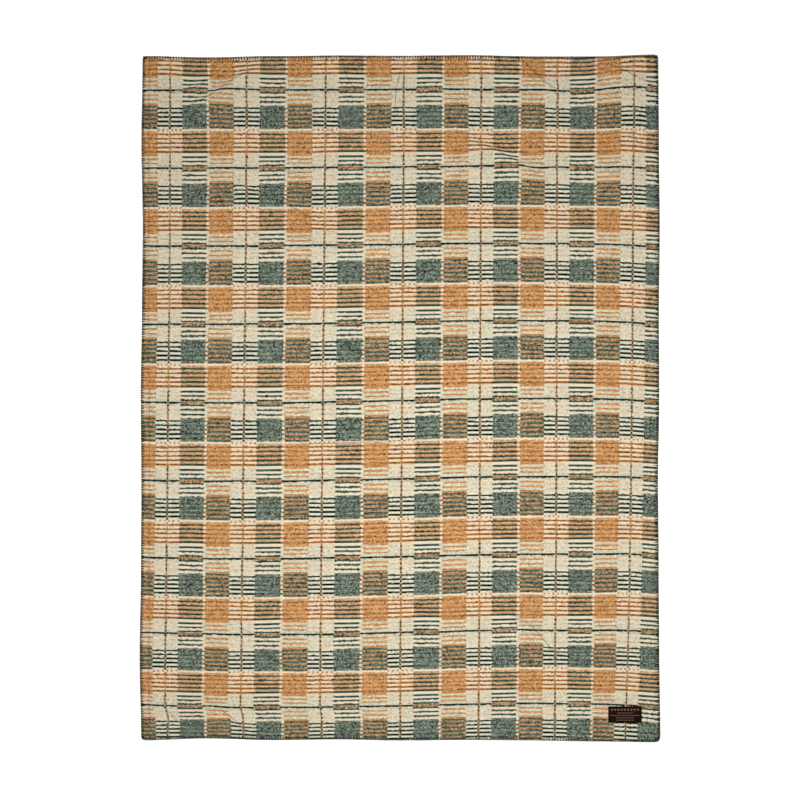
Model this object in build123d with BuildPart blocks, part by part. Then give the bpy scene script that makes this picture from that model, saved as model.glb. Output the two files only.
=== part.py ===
from build123d import *
import os

# Camp blanket: one woven plaid cloth with a blanket-stitched edge and a woven
# label sewn near one corner.  It lies flat: X across its width, Y along its
# length, Z up, with the origin at the middle of its underside.
# All sizes are in millimetres.

# ---- driving dimensions -----------------------------------------------------

BLANKET_WIDTH = 1524.0      # over the edge yarn
BLANKET_LENGTH = 2014.0     # over the edge yarn
BLANKET_CORNER = 13.0       # corner radius over the edge yarn
CLOTH_THICKNESS = 4.0       # napped cloth, lying loose

EDGE_YARN = 1.2             # thickness of both edge yarns
WRAP_WIDTH = 3.4            # one wrap, measured along the edge
WRAP_REACH = 8.0            # how far a wrap reaches in over the cloth
WRAP_PITCH = 8.0            # from one wrap to the next
RIM_MARGIN = 1.5            # pressed cloth left bare inside the wraps' ends

LABEL_WIDTH = 98.5
LABEL_HEIGHT = 48.5
LABEL_THICKNESS = 1.0       # two layers of damask where the edges fold under
LABEL_CORNER = 1.5
LABEL_FROM_SIDE = 51.5      # label to the blanket's right side
LABEL_FROM_END = 52.0       # label to the blanket's lower end

SEAM_INSET = 2.4            # label edge to the middle of its seam
SEAM_STITCH = 2.8           # one stitch
SEAM_PITCH = 3.5            # from one stitch to the next
SEAM_THREAD = 0.6           # width of the sewing thread
SEAM_RISE = 0.35            # height of the thread, above the label and in the cloth

MOTIF_RISE = 0.25           # gold weft above the label's ground
LOZENGE_WIDTH = 7.0
LOZENGE_HEIGHT = 8.0
LOZENGE_COUNT = 9
LOZENGE_PITCH = 9.6
LOZENGE_ROW = 14.0          # height of the row above the label's middle
DASH_LENGTH = 4.2
DASH_HEIGHT = 2.2
DASH_PITCH = 5.8
DASH_ROWS = [(4.4, 8), (-2.6, 15), (-9.6, 9), (-16.6, 9)]   # height, and number of dashes

# ---- sizes that follow from them --------------------------------------------

CLOTH_WIDTH = BLANKET_WIDTH - 4 * EDGE_YARN
CLOTH_LENGTH = BLANKET_LENGTH - 4 * EDGE_YARN
CLOTH_CORNER = BLANKET_CORNER - 2 * EDGE_YARN
RIM_THICKNESS = CLOTH_THICKNESS - 2 * EDGE_YARN
RIM_WIDTH = WRAP_REACH + RIM_MARGIN

LABEL_X = BLANKET_WIDTH / 2 - LABEL_FROM_SIDE - LABEL_WIDTH / 2
LABEL_Y = -BLANKET_LENGTH / 2 + LABEL_FROM_END + LABEL_HEIGHT / 2
LABEL_TOP = CLOTH_THICKNESS + LABEL_THICKNESS
SEAM_WIDTH = LABEL_WIDTH - 2 * SEAM_INSET
SEAM_HEIGHT = LABEL_HEIGHT - 2 * SEAM_INSET


# ---- helpers ----------------------------------------------------------------

def round_the_edge(width, length, radius, pitch):
    """Planes spaced evenly around a rounded rectangle: X inward, Y up, Z along the edge."""
    with BuildSketch() as outline:
        RectangleRounded(width, length, radius)
    edge = outline.sketch.faces()[0].outer_wire()
    count = round(edge.length / pitch)
    up = Vector(0, 0, 1)
    planes = []
    for index in range(count):
        along = (index + 0.5) / count
        place = edge.position_at(along)
        heading = edge.tangent_at(along)
        inward = up.cross(heading)
        if inward.dot(place) > 0:
            heading, inward = -heading, -inward
        planes.append(Plane(origin=place, x_dir=inward, z_dir=heading))
    return planes


def seam_places():
    """Centre and turn of every stitch in the label's four straight seams."""
    across = int(SEAM_WIDTH / SEAM_PITCH)
    down = int(SEAM_HEIGHT / SEAM_PITCH)
    places = []
    for index in range(across):
        x = LABEL_X + (index - (across - 1) / 2) * SEAM_PITCH
        places += [Location((x, LABEL_Y + side * SEAM_HEIGHT / 2), 0) for side in (-1, 1)]
    for index in range(down):
        y = LABEL_Y + (index - (down - 1) / 2) * SEAM_PITCH
        places += [Location((LABEL_X + side * SEAM_WIDTH / 2, y), 90) for side in (-1, 1)]
    return places


# ---- the cloth --------------------------------------------------------------
# A plain slab.  The stitching presses a thin rim all round it, and the label's
# seam presses a shallow groove into its underside for the bobbin thread.

with BuildPart() as blanket_cloth:
    with BuildSketch(Plane.XY.offset(EDGE_YARN)):
        RectangleRounded(CLOTH_WIDTH, CLOTH_LENGTH, CLOTH_CORNER)
    extrude(amount=RIM_THICKNESS)
    with BuildSketch(Plane.XY):
        RectangleRounded(CLOTH_WIDTH - 2 * RIM_WIDTH, CLOTH_LENGTH - 2 * RIM_WIDTH,
                         CLOTH_CORNER - RIM_WIDTH)
    extrude(amount=CLOTH_THICKNESS)
    with BuildSketch(Plane.XY):
        with Locations((LABEL_X, LABEL_Y)):
            Rectangle(SEAM_WIDTH + SEAM_THREAD, SEAM_HEIGHT + SEAM_THREAD)
            Rectangle(SEAM_WIDTH - SEAM_THREAD, SEAM_HEIGHT - SEAM_THREAD, mode=Mode.SUBTRACT)
    extrude(amount=SEAM_RISE, mode=Mode.SUBTRACT)

# ---- the edge yarns ---------------------------------------------------------
# The purl yarn runs along the cloth's raw edge.  Each wrap starts on the top
# face, passes outside the purl and comes back under the cloth.

with BuildPart() as edge_purl_yarn:
    with BuildSketch(Plane.XY.offset(EDGE_YARN)):
        RectangleRounded(CLOTH_WIDTH + 2 * EDGE_YARN, CLOTH_LENGTH + 2 * EDGE_YARN,
                         CLOTH_CORNER + EDGE_YARN)
        RectangleRounded(CLOTH_WIDTH, CLOTH_LENGTH, CLOTH_CORNER, mode=Mode.SUBTRACT)
    extrude(amount=RIM_THICKNESS)

with BuildPart() as one_wrap:
    with BuildSketch(Plane.XY):
        with Locations(((WRAP_REACH - 2 * EDGE_YARN) / 2, CLOTH_THICKNESS / 2)):
            Rectangle(WRAP_REACH + 2 * EDGE_YARN, CLOTH_THICKNESS)
        with Locations(((WRAP_REACH - EDGE_YARN) / 2, CLOTH_THICKNESS / 2)):
            Rectangle(WRAP_REACH + EDGE_YARN, RIM_THICKNESS, mode=Mode.SUBTRACT)
    extrude(amount=WRAP_WIDTH / 2, both=True)

wrap_planes = round_the_edge(CLOTH_WIDTH, CLOTH_LENGTH, CLOTH_CORNER, WRAP_PITCH)

with BuildPart() as edge_wrap_yarn:
    with Locations(*[plane.location for plane in wrap_planes]):
        add(one_wrap.part)

# ---- the label --------------------------------------------------------------

with BuildPart() as label_patch:
    with BuildSketch(Plane.XY.offset(CLOTH_THICKNESS)):
        with Locations((LABEL_X, LABEL_Y)):
            RectangleRounded(LABEL_WIDTH, LABEL_HEIGHT, LABEL_CORNER)
    extrude(amount=LABEL_THICKNESS)

# A generic woven motif: a row of lozenges over rows of short dashes.

with BuildPart() as label_motif:
    with BuildSketch(Plane.XY.offset(LABEL_TOP)):
        with Locations((LABEL_X, LABEL_Y + LOZENGE_ROW)):
            with GridLocations(LOZENGE_PITCH, 0, LOZENGE_COUNT, 1):
                Polygon((-LOZENGE_WIDTH / 2, 0), (0, -LOZENGE_HEIGHT / 2),
                        (LOZENGE_WIDTH / 2, 0), (0, LOZENGE_HEIGHT / 2))
        for height, count in DASH_ROWS:
            with Locations((LABEL_X, LABEL_Y + height)):
                with GridLocations(DASH_PITCH, 0, count, 1):
                    Rectangle(DASH_LENGTH, DASH_HEIGHT)
    extrude(amount=MOTIF_RISE)

with BuildPart() as label_needle_thread:
    with BuildSketch(Plane.XY.offset(LABEL_TOP)):
        with Locations(*seam_places()):
            RectangleRounded(SEAM_STITCH, SEAM_THREAD, 0.4 * SEAM_THREAD)
    extrude(amount=SEAM_RISE)

with BuildPart() as label_bobbin_thread:
    with BuildSketch(Plane.XY):
        with Locations(*seam_places()):
            RectangleRounded(SEAM_STITCH, SEAM_THREAD, 0.4 * SEAM_THREAD)
    extrude(amount=SEAM_RISE)

# ---- export -----------------------------------------------------------------

pieces = {
    "blanket_cloth": blanket_cloth,
    "edge_purl_yarn": edge_purl_yarn,
    "edge_wrap_yarn": edge_wrap_yarn,
    "label_patch": label_patch,
    "label_motif": label_motif,
    "label_needle_thread": label_needle_thread,
    "label_bobbin_thread": label_bobbin_thread,
}

os.makedirs("parts", exist_ok=True)
for name, piece in pieces.items():
    piece.part.label = name
    export_step(piece.part, f"parts/{name}.step", write_pcurves=False)
    print(name, len(piece.part.solids()), "solids,", round(piece.part.volume), "mm3")
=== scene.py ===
# %% Load the frame
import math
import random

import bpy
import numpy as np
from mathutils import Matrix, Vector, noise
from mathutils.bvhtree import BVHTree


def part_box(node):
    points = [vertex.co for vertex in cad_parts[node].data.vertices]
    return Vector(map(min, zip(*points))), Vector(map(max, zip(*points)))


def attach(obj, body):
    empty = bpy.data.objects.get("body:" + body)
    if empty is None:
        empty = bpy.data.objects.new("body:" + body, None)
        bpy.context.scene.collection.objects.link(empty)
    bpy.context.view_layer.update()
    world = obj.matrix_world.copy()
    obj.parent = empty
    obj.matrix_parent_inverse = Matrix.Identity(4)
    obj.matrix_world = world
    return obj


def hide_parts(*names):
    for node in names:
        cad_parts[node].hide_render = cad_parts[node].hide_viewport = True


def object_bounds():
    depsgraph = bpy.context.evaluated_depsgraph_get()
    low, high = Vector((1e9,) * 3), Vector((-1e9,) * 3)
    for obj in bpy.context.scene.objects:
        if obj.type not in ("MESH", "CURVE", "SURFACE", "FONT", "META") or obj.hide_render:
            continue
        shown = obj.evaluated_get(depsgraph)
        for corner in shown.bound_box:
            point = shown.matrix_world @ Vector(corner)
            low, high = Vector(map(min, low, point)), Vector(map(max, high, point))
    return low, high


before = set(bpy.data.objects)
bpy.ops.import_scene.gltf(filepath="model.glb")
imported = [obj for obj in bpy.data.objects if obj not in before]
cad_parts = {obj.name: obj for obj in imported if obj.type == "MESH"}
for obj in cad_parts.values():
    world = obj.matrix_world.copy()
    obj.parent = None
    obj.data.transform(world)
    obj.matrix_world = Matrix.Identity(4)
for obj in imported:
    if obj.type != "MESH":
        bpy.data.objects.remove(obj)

# %% [markdown]
# # A plaid camp blanket, spread out flat
#
# The real thing is simple: one thick woven cloth, a dark yarn worked round its edge in
# blanket stitch, and a small woven label sewn near one corner.
# What makes it look real is in the surface: a plaid whose stripes are pulled a little out
# of square, creases that swallow some of the pattern, and an edge that wanders.
# The frame gives every size and place, in metres, and nothing in it is moved.

MM = 0.001
cad_low, cad_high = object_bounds()
cloth_low, cloth_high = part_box("blanket_cloth")
purl_low, purl_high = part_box("edge_purl_yarn")
label_low, label_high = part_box("label_patch")

HALF_WIDTH = (cloth_high.x - cloth_low.x) / 2
HALF_LENGTH = (cloth_high.y - cloth_low.y) / 2
THICKNESS = cloth_high.z - cloth_low.z
MIDDLE = (cloth_high.z + cloth_low.z) / 2
RIM_SHARE = (purl_high.z - purl_low.z) / THICKNESS
print("cloth", round(2 * HALF_WIDTH, 4), "by", round(2 * HALF_LENGTH, 4), "m")

# %% [markdown]
# ## The camera
#
# The blanket is seen from straight above, from far off through a long lens, so its sides
# stay square. The camera comes first, because all the work is judged through it.

# %% Camera
LENS = 100.0
SENSOR = 36.0
PICTURE_SIDE = 1.168 * (cad_high.y - cad_low.y)
AIM = (-0.4 * MM, -5.7 * MM)

camera_data = bpy.data.cameras.new("camera")
camera_data.lens = LENS
camera_data.sensor_width = SENSOR
camera = bpy.data.objects.new("camera", camera_data)
bpy.context.collection.objects.link(camera)
camera.location = (*AIM, cad_high.z + PICTURE_SIDE * LENS / SENSOR)
bpy.context.scene.camera = camera
bpy.context.scene.view_settings.view_transform = "Standard"
print("camera", round(camera.location.z, 2), "m up")

# %% [markdown]
# ## Small helpers
#
# An operator acts on whatever is selected, so each piece starts with nothing selected.
# Large meshes are read and written as arrays, because a loop over fifty thousand points
# in Python is slow.


# %% Helpers for meshes
def select_only(obj=None):
    """Leaves only this object selected, or nothing."""
    bpy.ops.object.select_all(action="DESELECT")
    if obj:
        obj.select_set(True)
        bpy.context.view_layer.objects.active = obj


def points_of(obj):
    """The object's points as rows of x, y, z."""
    found = np.empty(len(obj.data.vertices) * 3, np.float32)
    obj.data.vertices.foreach_get("co", found)
    return found.reshape(-1, 3).astype(float)


def move_points(obj, places):
    """Writes the points back."""
    obj.data.vertices.foreach_set("co", places.astype(np.float32).ravel())
    obj.data.update()


def smooth_step(value):
    """0 below 0, 1 above 1, and an S-curve between."""
    value = np.clip(value, 0, 1)
    return value * value * (3 - 2 * value)


def fine_grid(name, cells, half, place):
    """A flat grid of this many cells, added at its size."""
    select_only()
    bpy.ops.mesh.primitive_grid_add(x_subdivisions=cells[0], y_subdivisions=cells[1], size=2, location=place)
    grid = bpy.context.object
    grid.name = grid.data.name = name
    grid.scale = (*half, 1)
    bpy.ops.object.transform_apply(location=True, scale=True)
    return grid


def round_corner(places, half, radius, way):
    """Draws the points of one corner's square in to its arc."""
    centre = way * (half - radius)
    out = (places - centre) * way
    inside = (out > 0).all(axis=1)
    shrink = out[inside].max(axis=1) / np.linalg.norm(out[inside], axis=1)
    places[inside] = centre + out[inside] * way * shrink[:, None]


def round_yarn(name, radius, places, closed=False):
    """A curve with a round section through these places, turned into a mesh."""
    curve = bpy.data.curves.new(name, "CURVE")
    curve.dimensions = "3D"
    curve.bevel_depth = radius
    curve.bevel_resolution = 1
    line = curve.splines.new("POLY")
    line.points.add(len(places) - 1)
    line.use_cyclic_u = closed
    for point, place in zip(line.points, places):
        point.co = (*place, 1)
    yarn = bpy.data.objects.new(name, curve)
    bpy.context.collection.objects.link(yarn)
    select_only(yarn)
    bpy.ops.object.convert(target="MESH")
    return bpy.context.object


def copies(name, master, placings):
    """One mesh of many copies of master, each placed by a 4 by 4 array."""
    points = points_of(master)
    faces = [list(face.vertices) for face in master.data.polygons]
    every_point = [points @ placing[:3, :3].T + placing[:3, 3] for placing in placings]
    every_face = [[index + len(points) * k for index in face]
                  for k in range(len(placings)) for face in faces]
    mesh = bpy.data.meshes.new(name)
    mesh.from_pydata(np.concatenate(every_point).tolist(), [], every_face)
    if master.data.uv_layers:
        flat = np.empty(len(master.data.loops) * 2, np.float32)
        master.data.uv_layers[0].data.foreach_get("uv", flat)
        mesh.uv_layers.new(name="yarn").data.foreach_set("uv", np.tile(flat, len(placings)))
    mesh.shade_smooth()
    made = bpy.data.objects.new(name, mesh)
    bpy.context.collection.objects.link(made)
    bpy.data.objects.remove(master)
    return made


def heights_of(piece, side, otherwise):
    """A function that tells the height of a piece's upper face (side 1) or lower one (-1)."""
    surface = BVHTree.FromObject(piece, bpy.context.evaluated_depsgraph_get())

    def height_at(px, py):
        hit = surface.ray_cast(Vector((px, py, side)), Vector((0, 0, -side)))[0]
        return hit.z if hit else otherwise

    return height_at


# %% [markdown]
# A material is a small graph of nodes. These helpers add one node at a time and link
# whatever is given to its inputs, so a graph reads like a sum.


# %% Helpers for materials
def new_material(name):
    """A material with its tree and its Principled shader."""
    material = bpy.data.materials.new(name)
    material.use_nodes = True
    return material, material.node_tree, material.node_tree.nodes["Principled BSDF"]


def node(tree, kind, inputs=None, **settings):
    """Adds a node, sets its properties, then links or sets its inputs."""
    made = tree.nodes.new("ShaderNode" + kind)
    for name, value in settings.items():
        setattr(made, name, value)
    for name, value in (inputs or {}).items():
        if isinstance(value, bpy.types.NodeSocket):
            tree.links.new(value, made.inputs[name])
        else:
            made.inputs[name].default_value = value
    return made


def maths(operation, *values):
    """One sum on numbers and sockets, in the tree that the sockets belong to."""
    tree = next(value.id_data for value in values if isinstance(value, bpy.types.NodeSocket))
    return node(tree, "Math", dict(enumerate(values)), operation=operation).outputs[0]


def blend_colours(tree, factor, first, second, blend_type="MIX"):
    """Mixes two colours by a factor."""
    mixer = node(tree, "Mix", {0: factor, 6: first, 7: second}, data_type="RGBA", blend_type=blend_type)
    return mixer.outputs[2]


def swing(chance, amount):
    """A chance from 0 to 1 as a swing about zero, this wide in all."""
    return maths("MULTIPLY", maths("SUBTRACT", chance, 0.5), amount)


def shaded(tree, colour, light):
    """A colour made darker or lighter by one number."""
    grey = node(tree, "CombineXYZ", {0: light, 1: light, 2: light}).outputs[0]
    return blend_colours(tree, 1.0, colour, grey, "MULTIPLY")


def surface(tree, shader, colour, roughness, specular, strength, distance, height):
    """Gives a shader its colour, its gloss and a bump."""
    tree.links.new(colour, shader.inputs["Base Color"])
    shader.inputs["Roughness"].default_value = roughness
    shader.inputs["Specular IOR Level"].default_value = specular
    bump = node(tree, "Bump", {"Strength": strength, "Distance": distance, "Height": height})
    tree.links.new(bump.outputs[0], shader.inputs["Normal"])


def stepped_ramp(tree, factor, colours):
    """Even steps of plain colour, from the first to the last."""
    ramp = node(tree, "ValToRGB", {0: factor})
    ramp.color_ramp.interpolation = "CONSTANT"
    while len(ramp.color_ramp.elements) < len(colours):
        ramp.color_ramp.elements.new(0.5)
    for index, colour in enumerate(colours):
        ramp.color_ramp.elements[index].position = index / len(colours)
        ramp.color_ramp.elements[index].color = colour
    return ramp.outputs[0]


def paint(red, green, blue, light=1.0):
    """A paint-chart colour, 0 to 255, as the linear colour that shaders need."""
    linear = []
    for part in (red, green, blue):
        part /= 255
        linear.append(part / 12.92 if part <= 0.04045 else ((part + 0.055) / 1.055) ** 2.4)
    return (*(light * part for part in linear), 1.0)


# %% [markdown]
# ## The cloth: a grid with a rim
#
# A cloth that lies flat could be a single plane with a bump map, but then its creases
# would vanish from the side. So it is a fine grid, about 8 mm from line to line, with
# three closer lines round its edge where the stitching presses it thin. The grid is
# added at its size, and the close lines are its outline extruded and scaled outwards.

# %% Lay out the grid
CLOTH_CELLS = (184, 244)
RIM_LINES = (8.0 * MM, 5.0 * MM, 2.5 * MM, 0.0)

cloth_half = np.array([HALF_WIDTH, HALF_LENGTH])
cloth = fine_grid("woven_cloth", CLOTH_CELLS, cloth_half - RIM_LINES[0], (0, 0, MIDDLE))

bpy.ops.object.mode_set(mode="EDIT")
bpy.ops.mesh.select_all(action="SELECT")
bpy.ops.mesh.region_to_loop()
for before, after in zip(RIM_LINES, RIM_LINES[1:]):
    wider = (HALF_WIDTH - after) / (HALF_WIDTH - before)
    longer = (HALF_LENGTH - after) / (HALF_LENGTH - before)
    bpy.ops.mesh.extrude_edges_move()
    bpy.ops.transform.resize(value=(wider, longer, 1), center_override=(0, 0, MIDDLE))
bpy.ops.object.mode_set(mode="OBJECT")

flat = points_of(cloth)
from_side = HALF_WIDTH - np.abs(flat[:, 0])
from_end = HALF_LENGTH - np.abs(flat[:, 1])
from_edge = np.minimum(from_side, from_end)
print("grid points", len(flat))

# %% [markdown]
# The corners of a blanket are turned by hand at the sewing machine, so no two are alike.
# Inside a corner's square, each point is drawn towards the arc's centre until the square
# has become a quarter circle.

# %% Round the four corners
CORNER_RADII = {(-1, 1): 4 * MM, (1, 1): 8 * MM, (-1, -1): 9 * MM, (1, -1): 13 * MM}

rounded = flat.copy()
for way, radius in CORNER_RADII.items():
    round_corner(rounded[:, :2], cloth_half, radius, np.array(way))
print("corner radii in mm", [round(radius / MM) for radius in CORNER_RADII.values()])

# %% [markdown]
# ## Where each thread of the weave lies
#
# The plaid is painted by a UV map that counts metres of cloth: across it from left to
# right, and down it from the top. On a perfect blanket this would be x and minus y. On a
# used one the cloth has been pulled a little, so the map adds gentle bends, each a
# number of millimetres times a power of x and y, which run from -1 to 1.

# %% Map the cloth's own coordinates
ACROSS_BENDS = [(631.8, 0, 0), (-13.7, 1, 0), (-6.5, 0, 1), (18.5, 2, 0), (11.2, 1, 1), (18.4, 3, 0),
                (-2, 2, 1), (-14.3, 4, 0), (-10.5, 3, 1), (3.4, 2, 2), (-3.7, 1, 3)]
DOWN_BENDS = [(782.1, 0, 0), (16.9, 1, 0), (13.9, 0, 1), (2.3, 2, 0), (-9.1, 1, 1), (-3.6, 0, 2),
              (-18.4, 3, 0), (-5.1, 2, 1), (-7.8, 1, 2), (-22.8, 0, 3), (-9, 4, 0), (7.3, 3, 1),
              (16.8, 0, 4)]
EDGE_FROM, EDGE_OVER = 0.66, 0.28       # near the right side the stitching has dragged the rows
EDGE_ACROSS, EDGE_DOWN = (0, -2, 5, -4.5), (4, -9, 10, 23)
WOBBLE = 1.3 * MM           # how far a stripe strays from straight
WOBBLE_SIZE = 85 * MM
WOBBLE_SIDEWAYS = 0.6       # as a share of the wobble up and down
SHEAR = 8 * MM              # the lower hem has been dragged sideways at its left end
SHEAR_FROM, SHEAR_OVER = 105 * MM, 45 * MM
SHEAR_FULL, SHEAR_NONE = -0.65, 0.25    # in x

x = flat[:, 0] / HALF_WIDTH
y = flat[:, 1] / HALF_LENGTH
across = flat[:, 0] + MM * sum(size * x**i * y**j for size, i, j in ACROSS_BENDS)
down = -flat[:, 1] + MM * sum(size * x**i * y**j for size, i, j in DOWN_BENDS)
dragged = MM * smooth_step((x - EDGE_FROM) / EDGE_OVER)
across += dragged * sum(size * y**power for power, size in enumerate(EDGE_ACROSS))
down += dragged * sum(size * y**power for power, size in enumerate(EDGE_DOWN))
wobble = np.array([noise.noise_vector((px / WOBBLE_SIZE, py / WOBBLE_SIZE, 3.7)) for px, py, _ in flat])
across += WOBBLE_SIDEWAYS * WOBBLE * wobble[:, 0]
down += WOBBLE * wobble[:, 1]
above_hem = flat[:, 1] + HALF_LENGTH
low_down = 1 - smooth_step((above_hem - SHEAR_FROM + SHEAR_OVER) / SHEAR_OVER)
leftwards = 1 - smooth_step((x - SHEAR_FULL) / (SHEAR_NONE - SHEAR_FULL))
across -= SHEAR * low_down * leftwards

corner_point = np.empty(len(cloth.data.loops), np.int32)
cloth.data.loops.foreach_get("vertex_index", corner_point)
weave_map = cloth.data.uv_layers.new(name="weave")
weave_map.data.foreach_set("uv", np.stack([across, down], 1)[corner_point].astype(np.float32).ravel())
while len(cloth.data.uv_layers) > 1:
    spare = next(layer for layer in cloth.data.uv_layers if layer.name != "weave")
    cloth.data.uv_layers.remove(spare)
print("weave map runs", np.round([across.min(), across.max(), down.min(), down.max()], 3))

# %% [markdown]
# ## The edge wanders
#
# The stitching puckers the edge in and out by a few millimetres. Nine offsets
# along each side, joined smoothly, give the outline, and they fade away within a hand's
# breadth of the edge.

# %% Let the outline wander
WANDER = {                                      # from x or y = -1 to 1, in mm
    "left": (-1, -5, -1.5, 0, -2, 1.5, 4, 0.5, 3.5),
    "right": (4, 1.5, -0.5, -2.5, 1, 0, 2.5, 0, -1.5),
    "bottom": (-1, 4.5, 0, 2, -1, 0.5, -1, -4, -6),
    "top": (0, -4, 0, 1.5, 1, 2.5, -1, -1, 4.5),
}
WANDER_FADE = 60 * MM


def along_side(offsets, place):
    """The offset at a place from -1 to 1 along a side."""
    steps = len(offsets) - 1
    position = np.clip((place + 1) / 2 * steps, 0, steps - 1e-6)
    index = position.astype(int)
    share = smooth_step(position - index)
    offsets = np.array(offsets) * MM
    return offsets[index] * (1 - share) + offsets[index + 1] * share


spread = rounded.copy()
near_side = np.exp(-((from_side / WANDER_FADE) ** 2))
near_end = np.exp(-((from_end / WANDER_FADE) ** 2))
spread[:, 0] += near_side * np.where(x < 0, along_side(WANDER["left"], y),
                                     along_side(WANDER["right"], y))
spread[:, 1] += near_end * np.where(y < 0, along_side(WANDER["bottom"], x),
                                    along_side(WANDER["top"], x))
print("widest point", round(spread[:, 0].max() - spread[:, 0].min(), 4), "m")

# %% [markdown]
# ## Creases
#
# A crease in a thick blanket is a low, narrow ridge where a few millimetres of cloth
# have been pushed together, so the stripes close up across it and jump sideways. It
# could come from a cloth simulation, but then nobody could say where each crease falls.
# So each is listed: the line that it follows, its half-width, its height and the
# cloth that it takes up, in millimetres. Points on either side slide towards the line,
# while their UV coordinates stay with the threads. An attribute keeps how far each point
# is from its fold and how hard that fold is pinched, for the painted shade at the fold's foot.

# %% Press in the creases
CREASES = [
    ([(-0.84, 0.85), (-0.74, 0.885), (-0.64, 0.94), (-0.53, 0.98)], 9, 7, 13),
    ([(-0.88, 0.895), (-0.80, 0.915), (-0.735, 0.945)], 8, 4, 7),
    ([(-0.46, 0.86), (-0.34, 0.815), (-0.16, 0.745)], 10, 4, 3),
    ([(-0.48, 0.87), (-0.46, 0.78)], 9, 3, 2),
    ([(-0.69, 0.70), (-0.59, 0.615), (-0.46, 0.58), (-0.36, 0.54), (-0.19, 0.46)], 11, 4, 3),
    ([(-0.24, 1.02), (-0.20, 0.94), (-0.15, 0.88)], 9, 3, 3),
    ([(0.02, 1.00), (-0.01, 0.90), (-0.02, 0.79)], 9, 4, 3),
    ([(0.10, 0.99), (0.22, 0.91)], 8, 3, 3),
    ([(0.44, 1.02), (0.56, 0.93), (0.64, 0.89)], 9, 5, 6),
    ([(0.66, 0.99), (0.75, 0.94)], 8, 3, 3),
    ([(0.75, 1.00), (0.855, 0.968), (0.92, 0.943), (1.02, 0.905)], 8, 5, 9),
    ([(0.23, 0.77), (0.37, 0.73), (0.47, 0.69), (0.58, 0.635)], 9, 6, 12),
    ([(0.89, 0.87), (0.97, 0.81)], 7, 3, 5),
    ([(0.82, 0.785), (0.90, 0.775), (0.95, 0.73)], 8, 4, 6),
    ([(0.58, 0.51), (0.68, 0.495)], 9, 3, 2),
    ([(-0.64, 0.635), (-0.54, 0.605)], 8, 3, 3),
    ([(-0.36, 0.505), (-0.22, 0.485)], 9, 3, 2),
    ([(-0.73, -0.055), (-0.54, -0.07), (-0.37, -0.13), (-0.16, -0.125), (0.12, -0.115)], 11, 4, 2),
    ([(0.00, -0.23), (0.14, -0.26)], 10, 3, 2),
    ([(-0.09, 0.355), (0.13, 0.31)], 10, 3, 2),
    ([(0.23, 0.00), (0.32, -0.10)], 9, 3, 2),
    ([(0.40, -0.24), (0.60, -0.305)], 10, 3, 2),
    ([(-0.85, -0.515), (-0.59, -0.54)], 9, 4, 2),
    ([(-0.12, -0.565), (0.04, -0.59), (0.18, -0.635)], 9, 4, 3),
    ([(0.37, -0.49), (0.57, -0.56)], 9, 4, 3),
    ([(0.36, -0.60), (0.51, -0.66), (0.60, -0.74), (0.75, -0.78)], 9, 4, 3),
    ([(-0.63, -0.665), (-0.48, -0.715)], 8, 4, 3),
    ([(-0.54, -0.74), (-0.38, -0.80)], 8, 4, 3),
    ([(-0.76, -0.865), (-0.61, -0.955), (-0.54, -0.99)], 9, 4, 5),
    ([(-0.91, -0.90), (-0.83, -0.965)], 8, 3, 4),
]
PULL_REACH = 70 * MM        # how far away cloth is drawn towards a crease


def crease_effect(places, line, half_width, height, taken_up):
    """One crease's slide and lift for these points, and how far off it they are."""
    corners = np.array(line) * (HALF_WIDTH, HALF_LENGTH)
    legs = np.diff(corners, axis=0)
    lengths = np.linalg.norm(legs, axis=1)
    starts = np.concatenate([[0], np.cumsum(lengths)])
    nearest = np.full(len(places), np.inf)
    share = np.zeros(len(places))
    normal = np.zeros((len(places), 2))
    side = np.zeros(len(places))
    for start, leg, length, before in zip(corners, legs, lengths, starts):
        along = np.clip((places - start) @ leg / length**2, 0, 1)
        gap = places - start - along[:, None] * leg
        distance = np.linalg.norm(gap, axis=1)
        closer = distance < nearest
        nearest[closer] = distance[closer]
        share[closer] = (before + along[closer] * length) / starts[-1]
        left = np.array([-leg[1], leg[0]]) / length
        side[closer] = np.sign(gap[closer] @ left)
        normal[closer] = left * side[closer][:, None]
    taper = np.sin(np.pi * share) ** 0.8
    slide = -taken_up / 2 * taper * np.tanh(nearest / half_width) * np.exp(-((nearest / PULL_REACH) ** 2))
    lift = height * taper * np.exp(-((nearest / half_width) ** 2))
    return slide[:, None] * normal, lift, nearest * side


FOLD_REACH = 13 * MM        # how far off a fold its pinch is still kept
HARDEST = 6.0 * MM          # a crease this high or higher is pinched as hard as can be
HELD, HELD_REACH = 0.8, 20 * MM         # the stitched edge holds back this share of a slide

slides = np.zeros((len(flat), 2))
lifts = np.zeros(len(flat))
held_back = HELD * np.exp(-from_edge / HELD_REACH)
fold = np.zeros((len(flat), 3))         # distance from the fold, how hard it is pinched
for line, half_width, height, taken_up in CREASES:
    slide, lift, gap = crease_effect(spread[:, :2], line, half_width * MM, height * MM, taken_up * MM)
    slides += slide * (1 - held_back)[:, None]
    lifts = np.maximum(lifts, lift)
    height_along = lift * np.exp((gap / (half_width * MM)) ** 2)
    pinched = np.minimum(height_along / HARDEST, 1) * np.exp(-((gap / FOLD_REACH) ** 2))
    harder = pinched > fold[:, 1]
    fold[harder, 0] = gap[harder]
    fold[harder, 1] = pinched[harder]
fold_data = cloth.data.attributes.new("fold", "FLOAT_VECTOR", "POINT")
fold_data.data.foreach_set("vector", fold.astype(np.float32).ravel())
print("creases", len(CREASES), "highest", round(lifts.max() / MM, 1), "mm")

# %% [markdown]
# Between the creases the cloth isn't dead flat either: it still remembers being folded
# and carried. Slow noise lifts broad swells, and finer noise gives the dimpled surface
# of a napped cloth. The label stiffens the cloth under it, so the swells fade out there.

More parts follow.
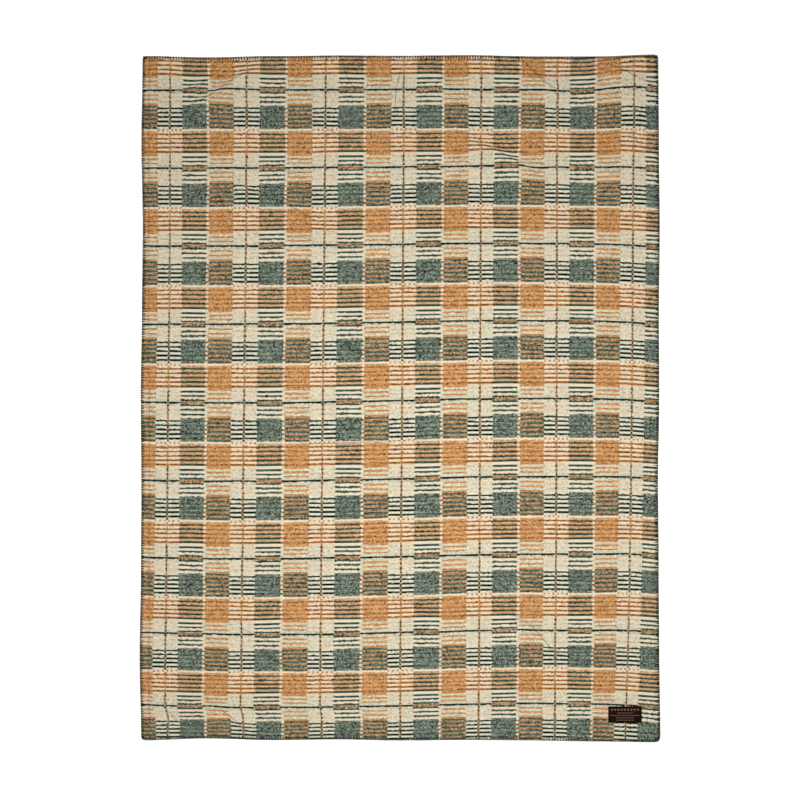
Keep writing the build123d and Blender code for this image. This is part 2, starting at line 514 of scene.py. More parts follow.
# %% Swells and dimples
SWELL, SWELL_SIZE = 2.6 * MM, 210 * MM
RIPPLE, RIPPLE_SIZE = 1.1 * MM, (120 * MM, 55 * MM)
HIGHER = 0.6                # how much more of the cloth is lifted than lies on the floor
LABEL_CALM, LABEL_LIFT = 40 * MM, 0.15  # how far the label calms the swells, and what is left

swell = np.array([noise.noise((px / SWELL_SIZE, py / SWELL_SIZE, 1.3)) for px, py, _ in flat])
ripple = np.array([noise.noise((px / RIPPLE_SIZE[0], py / RIPPLE_SIZE[1], 8.1)) for px, py, _ in flat])
rise = SWELL * (swell + HIGHER) + RIPPLE * (ripple + HIGHER)
rise = np.maximum(rise, 0) + lifts

label_middle = np.array([(label_low.x + label_high.x) / 2, (label_low.y + label_high.y) / 2])
label_half = np.array([(label_high.x - label_low.x) / 2, (label_high.y - label_low.y) / 2])
past_label = np.maximum(np.abs(flat[:, :2] - label_middle) - label_half, 0)
calm = smooth_step(np.linalg.norm(past_label, axis=1) / LABEL_CALM)
rise *= LABEL_LIFT + (1 - LABEL_LIFT) * calm

shaped = spread.copy()
shaped[:, :2] += slides
shaped[:, 2] += rise
move_points(cloth, shaped)
print("highest rise", round(rise.max() / MM, 1), "mm")

# %% [markdown]
# ## The edge as a path
#
# The yarns need the finished outline. The outermost points of the grid, taken in order
# round the blanket, are that outline. A small class walks along it by distance.


# %% Read the outline
class Outline:
    """A closed path that gives its place and its directions at any distance."""

    def __init__(self, corners):
        self.corners = np.vstack([corners, corners[:1]])
        steps = np.linalg.norm(np.diff(self.corners, axis=0), axis=1)
        self.marks = np.concatenate([[0], np.cumsum(steps)])
        self.length = self.marks[-1]

    def at(self, distance):
        """The point at this distance round the path."""
        distance = distance % self.length
        return np.array([np.interp(distance, self.marks, self.corners[:, k]) for k in range(3)])

    def directions(self, distance, reach=3 * MM):
        """Unit vectors inwards, along the edge and up."""
        ahead = self.at(distance + reach) - self.at(distance - reach)
        ahead = Vector(ahead).normalized()
        inward = Vector((0, 0, 1)).cross(ahead).normalized()
        return inward, ahead, inward.cross(ahead)


rim = np.flatnonzero(from_edge < 0.1 * MM)
rim = rim[np.argsort(np.arctan2(flat[rim, 1], flat[rim, 0]))]
outline = Outline(shaped[rim])
print("round the edge", round(outline.length, 3), "m")

# %% [markdown]
# ## Give the cloth its thickness
#
# Solidify turns the grid into a cloth 4 mm thick. A vertex group thins it towards the
# rim, where the stitching holds it to under 2 mm. The modifier is applied, so the mesh
# itself is the finished cloth.

# %% Thicken the cloth
full = cloth.vertex_groups.new(name="full thickness")
inner = np.flatnonzero(from_edge > RIM_LINES[0] - 0.1 * MM)
partway = np.flatnonzero(np.abs(from_edge - RIM_LINES[1]) < 0.1 * MM)
full.add(inner.tolist(), 1.0, "REPLACE")
full.add(partway.tolist(), 0.45, "REPLACE")

shell = cloth.modifiers.new("thickness", "SOLIDIFY")
shell.thickness = THICKNESS
shell.offset = 0
shell.vertex_group = full.name
shell.thickness_vertex_group = RIM_SHARE
select_only(cloth)
bpy.ops.object.modifier_apply(modifier=shell.name)
cloth.data.shade_smooth()

thick = points_of(cloth)
thick[:, 2] = np.maximum(thick[:, 2], cad_low.z)
move_points(cloth, thick)
cloth_top = heights_of(cloth, 1, cloth_high.z)
cloth_bottom = heights_of(cloth, -1, cloth_low.z)
print("cloth faces", len(cloth.data.polygons))

# %% [markdown]
# ## Blanket stitch: the wraps
#
# Each wrap is a short length of soft yarn that comes out of the cloth on top, passes
# round the edge and goes back in underneath. One is drawn as a curve with a round
# section, turned into a mesh and squashed, because yarn flattens where it is pulled
# tight. It is then copied all round the edge, about 8 mm apart. No hand or machine is
# perfect, so each copy leans, stretches and strays a little.

# %% Draw one wrap
YARN_RADIUS = 0.85 * MM
YARN_SPREAD = 2.35          # how much wider than thick a wrap lies
WRAP_PATH = [(10.4, 0.7), (9.8, 2.0), (8.4, 2.45), (5.2, 2.1), (1.2, 1.65), (-1.0, 1.35),
             (-2.1, 0.35), (-2.0, -0.6), (-0.8, -1.2), (1.4, -1.2), (5.2, -1.2), (9.0, -1.2),
             (10.2, -0.7), (10.4, 0.0)]             # inwards and up, in mm

wrap = round_yarn("wrap", YARN_RADIUS, [(inward * MM, 0, up * MM) for inward, up in WRAP_PATH])
wrap.scale.y = YARN_SPREAD
bpy.ops.object.transform_apply(scale=True)
print("faces in one wrap", len(wrap.data.polygons))

# %% [markdown]
# The copies are placed by walking the outline. The stitches are a little closer along
# the sides than along the ends, and on the lower end they lean over more.

# %% Set the wraps round the edge
END_PITCH, SIDE_PITCH = 8.0 * MM, 7.5 * MM
END_LEAN, SIDE_LEAN, TOP_LEAN = -0.3, -0.08, -0.15   # sideways per unit inwards
STRAY, LEAN_STRAY = 0.45 * MM, 0.07
LONG, WIDE = (0.9, 1.06), (0.9, 1.1)    # as shares of the one that was drawn
draw = random.Random(7)

stops = [0.0]
while stops[-1] < outline.length:
    on_side = abs(outline.directions(stops[-1])[0].x) > 0.7
    stops.append(stops[-1] + (SIDE_PITCH if on_side else END_PITCH))
stops = np.array(stops[:-1]) * outline.length / stops[-1]
places = []
for stop in stops:
    distance = stop + draw.uniform(-STRAY, STRAY)
    inward, ahead, up = outline.directions(distance)
    lean = END_LEAN if inward.y > 0.7 else TOP_LEAN if inward.y < -0.7 else SIDE_LEAN
    lean += draw.uniform(-LEAN_STRAY, LEAN_STRAY)
    long, wide = draw.uniform(*LONG), draw.uniform(*WIDE)
    placing = np.eye(4)
    placing[:3, 0] = (inward + lean * ahead) * long
    placing[:3, 1] = ahead * wide
    placing[:3, 2] = up
    placing[:3, 3] = outline.at(distance)
    places.append(placing)

wraps = copies("edge_wraps", wrap, places)
print("wraps", len(stops), "faces", len(wraps.data.polygons))

# %% [markdown]
# ## Blanket stitch: the purl
#
# The second yarn is chained along the very edge, between the wraps. It is one closed
# curve that bows out a little between each wrap and the next.

# %% Run the purl along the edge
PURL_RADIUS = 0.4 * MM
PURL_OUT = 0.4 * MM
PURL_BOW = 0.4 * MM
POINTS_PER_WRAP = 3
count = len(stops)

places = []
for index in range(count * POINTS_PER_WRAP):
    distance = np.interp(index / POINTS_PER_WRAP, np.arange(count + 1), [*stops, outline.length])
    inward, ahead, up = outline.directions(distance)
    phase = 2 * math.pi * index / POINTS_PER_WRAP
    out = PURL_OUT + PURL_BOW * math.cos(phase)
    places.append(Vector(outline.at(distance)) - out * inward + 0.3 * PURL_BOW * math.sin(phase) * up)
purl = round_yarn("edge_purl", PURL_RADIUS, places, closed=True)
purl.data.shade_smooth()
print("purl faces", len(purl.data.polygons))

# %% [markdown]
# The blanket's weight presses both yarns flat where they lie on the floor, so no point of
# them is left below it.

# %% Press the yarns against the floor
for yarn in (wraps, purl):
    pressed = points_of(yarn)
    pressed[:, 2] = np.maximum(pressed[:, 2], cad_low.z)
    move_points(yarn, pressed)

# %% [markdown]
# ## The label
#
# The label is a strip of dense black damask with its four edges folded under, so it is
# thicker and blacker in a band all round, and the seam presses a channel into that
# band. It is a fine grid laid on the cloth: each point takes the cloth's height and
# adds the label's own.

# %% Cut and lay the label
LABEL_CELLS = (64, 32)
LABEL_CORNER = 1.5 * MM
FOLD = 4.2 * MM             # width of the folded band
ONE_LAYER = 0.45 * MM
SEAM_INSET = 2.4 * MM
SEAM_DIP = 0.22 * MM

label = fine_grid("label_cloth", LABEL_CELLS, label_half, (*label_middle, 0))
patch = points_of(label)
own = patch[:, :2] - label_middle
in_from_edge = (label_half - np.abs(own)).min(axis=1)
for way in CORNER_RADII:
    round_corner(own, label_half, LABEL_CORNER, np.array(way))
patch[:, :2] = own + label_middle


def label_rise(inset):
    """Height of the label's face above the cloth, this far in from its edge."""
    folded = 1 - smooth_step((inset - FOLD) / (1.0 * MM) + 0.5)
    channel = SEAM_DIP * np.exp(-(((inset - SEAM_INSET) / (0.7 * MM)) ** 2))
    return ONE_LAYER * (1 + 0.9 * folded) - channel * folded


patch[:, 2] = [cloth_top(px, py) for px, py in patch[:, :2]] + label_rise(in_from_edge)
move_points(label, patch)
shell = label.modifiers.new("thickness", "SOLIDIFY")
shell.thickness = ONE_LAYER
shell.offset = -1
select_only(label)
bpy.ops.object.modifier_apply(modifier=shell.name)
edges = label.modifiers.new("soft edge", "BEVEL")
edges.width = 0.15 * MM
edges.segments = 2
edges.limit_method = "ANGLE"
bpy.ops.object.modifier_apply(modifier=edges.name)
label.data.shade_smooth()
label_top = heights_of(label, 1, label_high.z)
print("label faces", len(label.data.polygons))

# %% [markdown]
# ## The label's motif
#
# A label like this carries gold weft that floats over the black. Here it draws a plain
# row of lozenges over rows of short dashes. Each figure is a flat polygon, inset and
# raised in edit mode so that it has a soft shoulder, then copied.

# %% Make one lozenge and one dash
FLOAT_RISE = 0.22 * MM
LOZENGE = (7.0 * MM, 8.0 * MM)
DASH = (4.2 * MM, 2.2 * MM)


def raised_figure(name, corner_count, size, turn):
    """A small raised float of yarn: an outline, inset, with its top lifted."""
    select_only()
    bpy.ops.mesh.primitive_circle_add(vertices=corner_count, fill_type="NGON", rotation=(0, 0, turn))
    figure = bpy.context.object
    figure.name = name
    bpy.ops.object.transform_apply(rotation=True)
    reach = np.abs(points_of(figure)[:, :2]).max(axis=0)
    figure.scale = (size[0] / 2 / reach[0], size[1] / 2 / reach[1], 1)
    bpy.ops.object.transform_apply(scale=True)
    bpy.ops.object.mode_set(mode="EDIT")
    bpy.ops.mesh.select_all(action="SELECT")
    bpy.ops.mesh.inset(thickness=0.35 * MM)
    bpy.ops.transform.translate(value=(0, 0, FLOAT_RISE))
    bpy.ops.mesh.inset(thickness=0.3 * MM)
    bpy.ops.transform.translate(value=(0, 0, 0.3 * FLOAT_RISE))
    bpy.ops.object.mode_set(mode="OBJECT")
    return figure


lozenge = raised_figure("lozenge", 4, LOZENGE, 0)
dash = raised_figure("dash", 4, DASH, math.pi / 4)
print("faces in a figure", len(lozenge.data.polygons))

# %% Set the figures on the label
LOZENGE_ROW = (14.0, 9, 9.6)                    # height, number, pitch, in mm
DASH_ROWS = [(4.4, 8, 5.8), (-2.6, 15, 5.8), (-9.6, 9, 5.8), (-16.6, 9, 5.8)]


def row_places(height, number, pitch):
    """Placements of one row of figures, on the label's face."""
    found = []
    for index in range(number):
        px = label_middle[0] + (index - (number - 1) / 2) * pitch * MM
        py = label_middle[1] + height * MM
        placing = np.eye(4)
        placing[:3, 3] = (px, py, label_top(px, py))
        found.append(placing)
    return found


lozenges = copies("lozenges", lozenge, row_places(*LOZENGE_ROW))
dashes = copies("dashes", dash, [place for row in DASH_ROWS for place in row_places(*row)])
select_only(lozenges)
dashes.select_set(True)
bpy.ops.object.join()
motif = bpy.context.object
motif.name = motif.data.name = "label_weft"
motif.data.shade_flat()
print("motif faces", len(motif.data.polygons))

# %% [markdown]
# ## The label's seam
#
# A lockstitch shows as short dashes of needle thread on the label, and as dashes of
# bobbin thread under the blanket. One stitch is a small sphere drawn out into a
# spindle, with its ends sunk into the cloth.

# %% Sew the label down
STITCH = (2.8 * MM, 0.62 * MM, 0.5 * MM)
STITCH_PITCH = 3.5 * MM
seam_half = label_half - SEAM_INSET


def seam_places(height_at, sink):
    """Placements of every stitch in the four seams."""
    found = []
    for axis in (0, 1):
        number = int(2 * seam_half[axis] / STITCH_PITCH)
        for index in range(number):
            for side in (-1, 1):
                offset = np.zeros(2)
                offset[axis] = (index - (number - 1) / 2) * STITCH_PITCH
                offset[1 - axis] = side * seam_half[1 - axis]
                px, py = label_middle + offset
                turn = math.pi / 2 * axis + draw.uniform(-0.06, 0.06)
                placing = np.eye(4)
                placing[:2, 0] = (math.cos(turn), math.sin(turn))
                placing[:2, 1] = (-math.sin(turn), math.cos(turn))
                placing[:3, 3] = (px, py, height_at(px, py) + sink)
                found.append(placing)
    return found


def one_stitch():
    """A sphere drawn out into a stitch."""
    select_only()
    bpy.ops.mesh.primitive_uv_sphere_add(segments=8, ring_count=6, radius=0.5, rotation=(0, math.pi / 2, 0))
    stitch = bpy.context.object
    bpy.ops.object.transform_apply(rotation=True)
    stitch.scale = STITCH
    bpy.ops.object.transform_apply(scale=True)
    return stitch


needle = copies("label_needle_stitches", one_stitch(), seam_places(label_top, 0.08 * MM))
bobbin = copies("label_bobbin_stitches", one_stitch(), seam_places(cloth_bottom, 0.26 * MM))
print("stitches", len(needle.data.polygons) // 48, "on each face")

# %% [markdown]
# ## The plaid
#
# Weavers write a plaid as a draft: a list of stripes across, a list of rows down, and
# the colour where each pair crosses. The material does the same. The rows run in pairs,
# an even one and an odd one, through three bands, and two rows stand alone. That makes
# eight kinds of row, and five kinds of stripe.

# %% The draft
REPEAT = 227.5 * MM
FIRST_STRIPE = -7.8 * MM                        # where the first teal stripe begins
STRIPES = [("teal", 73.8), ("thin", 7.4), ("orange", 71.6), ("cream", 34.4), ("line", 5.8), ("cream", 34.5)]
FIRST_ROW = -0.9 * MM
BANDS = [(63.9, 10), (8.4, 1), (31.2, 5), (8.6, 1), (39.7, 6), (69.5, 11), (6.2, 1)]    # mm deep, rows
CREAM_ROWS, CROSS_ROW, TEAL_ROWS, DOT_ROW = 10, 16, 23, 34
FLOOD = 0.80                                    # makes up for a light brighter than 1

# Kinds of row: orange even, odd; cream even, odd; the dark cross row; teal even, odd; dots
DRAFT = {
    "teal": [(209, 163, 115), (46, 72, 63), (236, 221, 192), (48, 78, 71), (172, 130, 87),
             (92, 100, 86), (108, 124, 113), (236, 218, 187)],
    "thin": [(238, 221, 192), (164, 112, 62), (231, 214, 184), (210, 207, 182), (28, 40, 33),
             (162, 108, 56), (222, 221, 197), (230, 212, 183)],
    "orange": [(211, 155, 98), (174, 119, 66), (203, 142, 80), (214, 209, 184), (24, 38, 31),
               (175, 136, 92), (74, 95, 85), (238, 221, 192)],
    "cream": [(236, 219, 190), (160, 96, 28), (229, 211, 182), (210, 206, 181), (22, 38, 30),
              (22, 38, 30), (223, 220, 197), (234, 216, 186)],
    "line": [(204, 147, 88), (171, 119, 69), (196, 138, 79), (44, 66, 58), (168, 124, 80),
             (175, 128, 78), (40, 66, 61), (240, 224, 195)],
}
DOT_COLOUR = (200, 132, 72)
DOT_PITCH, DOT_WIDTH, DOT_START = 13.44 * MM, 5.8 * MM, 153.2 * MM
PICK = REPEAT / 105                             # one weft thread
WARP = 2.9 * MM                                 # one float over the warp

plaid, tree, shader = new_material("woven plaid")
thread = node(tree, "UVMap", uv_map="weave").outputs[0]
split = node(tree, "SeparateXYZ", {0: thread})
across_socket, down_socket = split.outputs[0], split.outputs[1]
print("rows in a repeat", sum(number for _, number in BANDS))

# %% [markdown]
# Woollen yarn is uneven, so no two crossings of its threads look alike. Numbering the
# crossings and asking for a random colour at each one gives three chances: one for how
# light the crossing is, and two that move the ends of its stripe and row a little.

# %% Roll a dice for every crossing
FRAY = 0.5                                      # as a share of a thread
WAVER = 2.2 * MM

pick_number = maths("FLOOR", maths("DIVIDE", down_socket, PICK))
stagger = maths("MULTIPLY", maths("MODULO", pick_number, 2.0), 0.5)
warp_count = maths("ADD", maths("DIVIDE", across_socket, WARP), stagger)
warp_number = maths("FLOOR", warp_count)
crossing = node(tree, "CombineXYZ", {0: warp_number, 1: pick_number}).outputs[0]
dice = node(tree, "TexWhiteNoise", {"Vector": crossing}, noise_dimensions="2D").outputs["Color"]
chance = node(tree, "SeparateColor", {0: dice})
fray_across = swing(chance.outputs[1], FRAY)
fray_down = swing(chance.outputs[2], FRAY)
waver = node(tree, "TexNoise", {"Vector": thread, "Scale": 70.0, "Detail": 2.0}).outputs[0]
waver = swing(waver, WAVER)

# %% [markdown]
# A float of yarn has one colour from end to end, so the stripe and the row are looked up
# once for each crossing, at its middle, and not for each point.

# %% Count the stripes and the rows
middle_across = maths("SUBTRACT", maths("ADD", warp_number, 0.5), stagger)
middle_across = maths("MULTIPLY", maths("ADD", middle_across, fray_across), WARP)
stripe_at = maths("WRAP", maths("SUBTRACT", middle_across, FIRST_STRIPE), REPEAT, 0.0)
middle_down = maths("ADD", maths("ADD", pick_number, 0.5), fray_down)
middle_down = maths("MULTIPLY", middle_down, PICK)
row_at = maths("SUBTRACT", maths("ADD", middle_down, waver), FIRST_ROW)
row_at = maths("WRAP", row_at, REPEAT, 0.0)
rows = 0.0
start = 0.0
for depth, number in BANDS:
    ends = {1: start * MM, 2: (start + depth) * MM, 3: 0.0, 4: float(number)}
    part = node(tree, "MapRange", {0: row_at, **ends})
    rows = maths("ADD", rows, part.outputs[0])
    start += depth
print("rows end at", round(start, 1), "mm")

# %% [markdown]
# The kind of row picks a step of a colour ramp. In a pair, the darker row is a little
# thinner than its partner, and which one is darker depends on the stripe, so each
# stripe passes its own limits for how far an odd row reaches from its middle.

# %% Find the kind of row
THIN, THICK = 0.235, 0.27                      # half of an odd row, as a share of the pair

after_orange = maths("GREATER_THAN", rows, float(CREAM_ROWS))
after_cream = maths("GREATER_THAN", rows, float(TEAL_ROWS))
cream_middle, cream_reach = (CREAM_ROWS + TEAL_ROWS) / 2, (TEAL_ROWS - CREAM_ROWS) / 2 - 0.5
inside_cream = maths("COMPARE", rows, cream_middle, cream_reach)
on_dots = maths("GREATER_THAN", rows, float(DOT_ROW))
on_cross = maths("COMPARE", rows, CROSS_ROW + 0.5, 0.5)
mid_cross = maths("COMPARE", rows, CROSS_ROW + 0.5, 0.31)
band_kind = maths("MULTIPLY_ADD", after_orange, 2.0, maths("MULTIPLY", after_cream, 3.0))
band_kind = maths("MULTIPLY_ADD", on_dots, 2.0, band_kind)
from_odd = maths("FRACT", maths("MULTIPLY_ADD", rows, 0.5, 0.75))
from_odd = maths("ABSOLUTE", maths("SUBTRACT", from_odd, 0.5))
paired = maths("SUBTRACT", maths("SUBTRACT", 1.0, on_cross), on_dots)


def row_kind(in_orange, in_cream, in_teal, at_cross):
    """Which of the eight steps this is, as a ramp's factor, for these reaches of an odd row."""
    reach = maths("MULTIPLY_ADD", inside_cream, in_cream - in_orange, in_orange)
    reach = maths("MULTIPLY_ADD", after_cream, in_teal - in_orange, reach)
    odd = maths("MULTIPLY", maths("LESS_THAN", from_odd, reach), paired)
    kind = maths("ADD", maths("ADD", band_kind, odd), at_cross)
    return maths("MULTIPLY_ADD", kind, 1 / 8, 0.5 / 8)


whole_cross = maths("MULTIPLY", on_cross, 2.0)
narrow_cross = maths("ADD", on_cross, mid_cross)
kind_of_row = {
    "teal": row_kind(THIN, THIN, THIN, whole_cross),
    "line": row_kind(THIN, THIN, THIN, whole_cross),
    "thin": row_kind(THIN, THIN, THICK, narrow_cross),
    "cream": row_kind(THIN, THIN, THICK, narrow_cross),
    "orange": row_kind(THIN, THICK, THIN, narrow_cross),
}

# %% Cross the stripes with the rows
columns = {}
for name, colours in DRAFT.items():
    columns[name] = stepped_ramp(tree, kind_of_row[name], [paint(*c, light=FLOOD) for c in colours])
since_dot = maths("WRAP", maths("SUBTRACT", stripe_at, DOT_START), DOT_PITCH, 0.0)
dot = maths("MULTIPLY", maths("LESS_THAN", since_dot, DOT_WIDTH), on_dots)
columns["cream"] = blend_colours(tree, dot, columns["cream"], paint(*DOT_COLOUR, light=FLOOD))

colour = columns["teal"]
start = 0.0
for (name, width), (after, _) in zip(STRIPES, STRIPES[1:]):
    start += width * MM
    past = maths("GREATER_THAN", stripe_at, start)
    colour = blend_colours(tree, past, colour, columns[after])
print("stripes end at", round(start / MM + STRIPES[-1][1], 1), "mm")

# %% [markdown]
# ## Heather
#
# The speckle is strong in the teal, where pale fibres show, less in the orange and weak
# in the cream. The red in a colour tells these three apart. The chance at each crossing
# gives the fine grain. Noise drawn out along the weft gives soft patches, and more noise
# along each pick gives streaks.

# %% Speckle the colours
DARK_SPECKLE, PALE_SPECKLE = 1.35, 0.12
RED_OF_TEAL, RED_OF_CREAM = 0.12, 0.66
GRAIN, MOTTLE, STREAK, FIBRE = 2.0, 2.4, 1.2, 0.8
DARKEST = 0.12

longways = node(tree, "Mapping", {"Vector": thread, "Scale": (0.8, 1.2, 1.0)}).outputs[0]
mottling = {"Scale": 260.0, "Detail": 3.0, "Roughness": 0.75}
mottle = node(tree, "TexNoise", {"Vector": longways, **mottling}).outputs[0]
streaks = node(tree, "Mapping", {"Vector": thread, "Scale": (15.0, 420.0, 1.0)}).outputs[0]
streak = node(tree, "TexNoise", {"Vector": streaks, "Scale": 1.0, "Detail": 1.0}).outputs[0]
fibre = node(tree, "TexNoise", {"Vector": longways, "Scale": 1500.0, "Detail": 2.0}).outputs[0]
red = node(tree, "SeparateColor", {0: colour}).outputs[0]
strength = node(tree, "MapRange", {0: red, 1: RED_OF_TEAL, 2: RED_OF_CREAM, 3: DARK_SPECKLE,
                                   4: PALE_SPECKLE}).outputs[0]
heather = swing(chance.outputs[0], GRAIN)
for source, amount in ((mottle, MOTTLE), (streak, STREAK), (fibre, FIBRE)):
    heather = maths("ADD", heather, swing(source, amount))
heather = maths("MULTIPLY", heather, strength)
darker = maths("MINIMUM", heather, 0.0)
paler = maths("MAXIMUM", heather, 0.0)
tone = maths("MAXIMUM", maths("ADD", 1.0, darker), DARKEST)
tone = maths("MULTIPLY_ADD", paler, 0.9, tone)
heather_and_painted_shade = shaded(tree, colour, tone)
faded = maths("MULTIPLY", maths("MULTIPLY", paler, red), 0.6)
heather_and_painted_shade = blend_colours(tree, faded, heather_and_painted_shade, paint(232, 216, 188, light=FLOOD))

# %% [markdown]
# One darker warp runs down near each side, where the weaver marked the selvage. It
# strays a little, as the cloth does.

# %% The dark warps near the sides
SELVAGE_WARPS = [(-HALF_WIDTH + 21 * MM, 1.3 * MM, 0.42),     # place, half-width, darkness
                 (HALF_WIDTH - 11 * MM, 1.0 * MM, 0.35)]
WARP_DRIFT = 9 * MM

spot = node(tree, "TexCoord").outputs["Object"]
spot_x = node(tree, "SeparateXYZ", {0: spot}).outputs[0]
drift = node(tree, "TexNoise", {"Vector": spot, "Scale": 2.2, "Detail": 0.0}).outputs[0]
warp_x = maths("ADD", spot_x, swing(drift, WARP_DRIFT))
for place, width, darkness in SELVAGE_WARPS:
    on_warp = maths("COMPARE", warp_x, place, width)
    heather_and_painted_shade = blend_colours(tree, maths("MULTIPLY", on_warp, darkness), heather_and_painted_shade,
                              paint(38, 34, 28))

# %% [markdown]
# Where a crease is pinched, a painted shade darkens one foot of the fold. It stands in for
# the shadow where the cloth tucks under itself and no light gets in. The fold's own
# attribute says how far off that foot is.

# %% Paint shade at the foot of each fold
FOLD_FOOT, FOLD_LINE = -4.5 * MM, 2.4 * MM
FOLD_SHADE, FOLD_GAIN = 0.74, 1.6

fold_spot = node(tree, "Attribute", attribute_name="fold").outputs[1]
fold_parts = node(tree, "SeparateXYZ", {0: fold_spot})
off_foot = maths("ABSOLUTE", maths("SUBTRACT", fold_parts.outputs[0], FOLD_FOOT))
painted_fold_shade = maths("SUBTRACT", 1.0, maths("DIVIDE", off_foot, FOLD_LINE))
painted_fold_shade = maths("MULTIPLY", maths("MAXIMUM", painted_fold_shade, 0.0), fold_parts.outputs[1])
painted_fold_shade = maths("MINIMUM", maths("MULTIPLY", painted_fold_shade, FOLD_GAIN), 1.0)
# Painted shade: the colour is drawn towards near black along the foot of each pinched fold.
heather_and_painted_shade = blend_colours(tree, maths("MULTIPLY", painted_fold_shade, FOLD_SHADE), heather_and_painted_shade,
                          paint(30, 24, 18))

# %% [markdown]
# Each float is a little pillow: highest in its middle and pinched where the warp crosses
# it. Fine noise stands for the fuzz of the nap. Together they drive a bump. The pillow
# also paints shade into the colour where the floats are pinched, and a little light on
# their middles.

# %% Raise the floats and the nap, and paint their shade
rib = maths("ABSOLUTE", maths("SINE", maths("MULTIPLY", down_socket, math.pi / PICK)))
pinch = maths("ABSOLUTE", maths("SINE", maths("MULTIPLY", warp_count, math.pi)))
pillow = maths("POWER", maths("MULTIPLY", rib, pinch), 0.5)
relief = maths("MULTIPLY_ADD", pillow, 0.7, maths("MULTIPLY", fibre, 0.6))
relief = maths("MULTIPLY_ADD", mottle, 0.4, relief)
# Painted shade and light: the colour is multiplied by 0.82 where a float is pinched and by 1.12 at its
# middle.
heather_and_painted_shade = shaded(tree, heather_and_painted_shade, maths("MULTIPLY_ADD", pillow, 0.3, 0.82))
surface(tree, shader, heather_and_painted_shade, 0.95, 0.04, strength=0.7, distance=0.5 * MM, height=relief)
shader.inputs["Sheen Weight"].default_value = 0.02
shader.inputs["Sheen Roughness"].default_value = 0.6
cloth.data.materials.append(plaid)

# %% [markdown]
# ## The yarns, the label and the thread
#
# The edge yarn is soft, thick and almost black, with a green cast. Its plies are a
# diagonal wave on the UV map that runs along and around each loop.


# %% Yarn, damask and gold
def yarn_material(name, colour, highlight, twist, fuzz):
    """Plied yarn: painted shade in the grooves between its plies and a painted highlight on them, mixed with
    random fibre tone.
    """
    material, tree, shader = new_material(name)
    uv = node(tree, "UVMap", uv_map="yarn").outputs[0]
    slanted = {"Rotation": (0, 0, 0.6), "Scale": (twist, twist, 1)}
    turned = node(tree, "Mapping", {"Vector": uv, **slanted}).outputs[0]
    plies = node(tree, "TexWave", {"Vector": turned, "Scale": 1.0, "Distortion": 0.6}).outputs[1]
    spot = node(tree, "TexCoord").outputs["Object"]
    hairs = node(tree, "TexNoise", {"Vector": spot, "Scale": fuzz, "Detail": 3.0}).outputs[0]
    mixed = maths("MULTIPLY", maths("ADD", plies, hairs), 0.5)
    # Painted shade and highlight: the ply wave darkens the grooves and lightens the plies, and the noise
    # adds fibre tone.
    tone = blend_colours(tree, mixed, colour, highlight)
    surface(tree, shader, tone, 0.95, 0.04, strength=0.6, distance=0.25 * MM, height=mixed)
    return material


edge_yarn = yarn_material("edge yarn", paint(3, 7, 7), paint(17, 28, 26), 6.0, 1800.0)
wraps.data.materials.append(edge_yarn)
purl.data.materials.clear()
purl.data.materials.append(edge_yarn)
purl.data.uv_layers[0].name = "yarn"


def damask_material():
    """Dense satin: fine ribs, blacker in the folded band than in the field."""
    material, tree, shader = new_material("label damask")
    spot = node(tree, "TexCoord").outputs["Object"]
    split = node(tree, "SeparateXYZ", {0: spot})
    gaps = []
    for axis in (0, 1):
        off_middle = maths("SUBTRACT", split.outputs[axis], label_middle[axis])
        gaps.append(maths("SUBTRACT", label_half[axis], maths("ABSOLUTE", off_middle)))
    field = maths("GREATER_THAN", maths("MINIMUM", *gaps), FOLD)
    ribs = maths("SINE", maths("MULTIPLY", split.outputs[1], 2 * math.pi / (0.55 * MM)))
    grain = node(tree, "TexNoise", {"Vector": spot, "Scale": 2500.0, "Detail": 2.0}).outputs[0]
    base = blend_colours(tree, field, paint(3, 3, 3), paint(15, 9, 8))
    base = blend_colours(tree, maths("MULTIPLY", grain, 0.12), base, paint(60, 40, 32))
    relief = maths("ADD", maths("MULTIPLY", ribs, 0.4), grain)
    surface(tree, shader, base, 0.8, 0.06, strength=0.5, distance=0.12 * MM, height=relief)
    return material


def gold_material():
    """Gold weft floats, with a thread every third of a millimetre, painted darker between threads and
    brighter on their crests.
    """
    material, tree, shader = new_material("gold weft")
    spot = node(tree, "TexCoord").outputs["Object"]
    high = node(tree, "SeparateXYZ", {0: spot}).outputs[1]
    turns = maths("MULTIPLY", high, math.pi / (0.35 * MM))
    threads = maths("ABSOLUTE", maths("SINE", turns))
    grain = node(tree, "TexNoise", {"Vector": spot, "Scale": 2000.0, "Detail": 2.0}).outputs[0]
    tone = maths("MULTIPLY", maths("ADD", threads, grain), 0.55)
    # Painted shade and light: darker gold between the threads and brighter on their crests, with grain as
    # random tone.
    gold = blend_colours(tree, tone, paint(48, 27, 9), paint(140, 88, 38))
    surface(tree, shader, gold, 0.55, 0.5, strength=0.6, distance=0.1 * MM, height=threads)
    return material


label.data.materials.clear()
label.data.materials.append(damask_material())
motif.data.materials.clear()
motif.data.materials.append(gold_material())
sewing = yarn_material("sewing thread", paint(12, 10, 10), paint(46, 38, 34), 3.0, 4000.0)
for piece in (needle, bobbin):
    piece.data.materials.append(sewing)
print("materials", len(bpy.data.materials))

# %% [markdown]
# ## Floor and light
#
# The blanket lies on a plain white floor. One soft lamp hangs above it, a little below and
# to the right of its middle, so the far corners are dimmer. A weak sky fills the creases,
# and a weak low sun from the upper left gives each crease a lit side and a shaded side.

# %% Floor and light
LAMP_AT = (0.1, -0.25, 2.5)
LAMP_POWER = 64
LAMP_SIZE = 0.9
SKY = 0.20
SUN = 0.83
SUN_HEIGHT = math.radians(40)
SUN_FROM = math.radians(125)                    # from the x axis, turning left
SUN_SPREAD = math.radians(18)
FLOOR_GLOW = 0.8                                # keeps the floor white where the lamp is far off


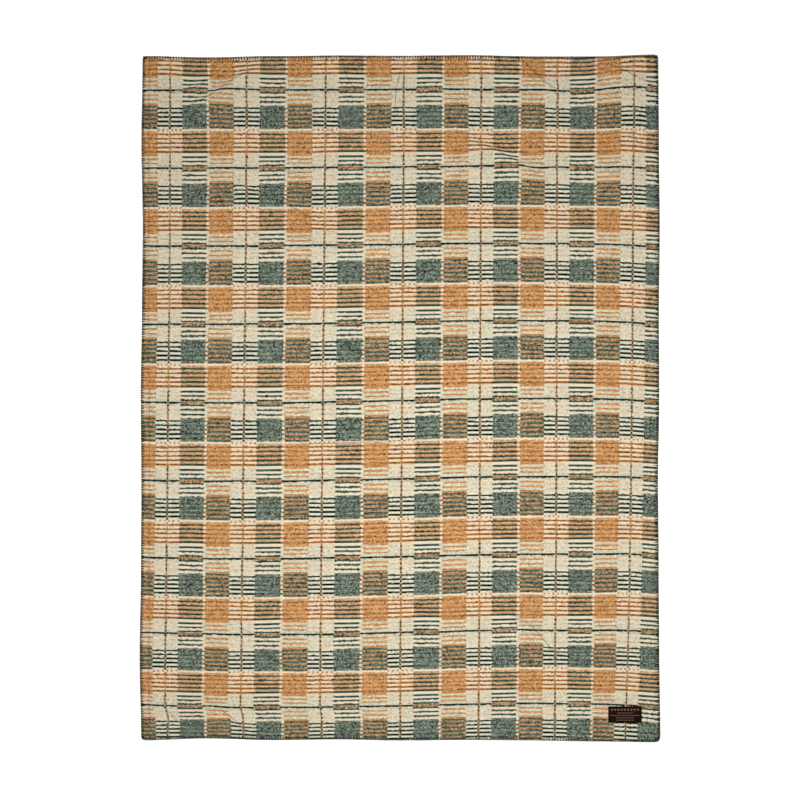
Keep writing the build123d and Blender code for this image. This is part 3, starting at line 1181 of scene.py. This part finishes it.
def add_light(name, kind, power):
    """A lamp of this kind and power."""
    light = bpy.data.objects.new(name, bpy.data.lights.new(name, kind))
    light.data.energy = power
    bpy.context.collection.objects.link(light)
    return light


select_only()
bpy.ops.mesh.primitive_plane_add(size=60, location=(0, 0, cad_low.z - 0.2 * MM))
floor = bpy.context.object
floor.name = "floor"
pale, tree, shader = new_material("pale floor")
shader.inputs["Base Color"].default_value = (0.6, 0.6, 0.6, 1)
shader.inputs["Emission Color"].default_value = (1, 1, 1, 1)
shader.inputs["Emission Strength"].default_value = FLOOR_GLOW
shader.inputs["Roughness"].default_value = 0.95
shader.inputs["Specular IOR Level"].default_value = 0.0
floor.data.materials.append(pale)

world = bpy.data.worlds.new("sky")
world.use_nodes = True
world.node_tree.nodes["Background"].inputs[0].default_value = (1, 1, 1, 1)
world.node_tree.nodes["Background"].inputs[1].default_value = SKY
bpy.context.scene.world = world

lamp = add_light("lamp", "AREA", LAMP_POWER)
lamp.data.shape = "DISK"
lamp.data.size = LAMP_SIZE
lamp.location = LAMP_AT

sun = add_light("sun", "SUN", SUN)
sun.data.angle = SUN_SPREAD
level = math.cos(SUN_HEIGHT)
towards = Vector((math.cos(SUN_FROM) * level, math.sin(SUN_FROM) * level, math.sin(SUN_HEIGHT)))
sun.rotation_euler = towards.to_track_quat("Z", "Y").to_euler()

# %% [markdown]
# ## Tie the pieces to the frame
#
# Each piece rides on the one body and stands in for its CAD node, which is hidden.
# Each row also lists a slot name, which nothing here reads.

# %% Tie the pieces to the frame
ties = [
    (cloth, "blanket_cloth", "blanket_cloth"),
    (wraps, "edge_wrap_yarn", "edge_yarn"),
    (purl, "edge_purl_yarn", "edge_yarn"),
    (label, "label_patch", "label_ground"),
    (motif, "label_motif", "label_gold"),
    (needle, "label_needle_thread", "sewing_thread"),
    (bobbin, "label_bobbin_thread", "sewing_thread"),
]
for piece, cad_node, slot in ties:
    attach(piece, "root")
    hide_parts(cad_node)
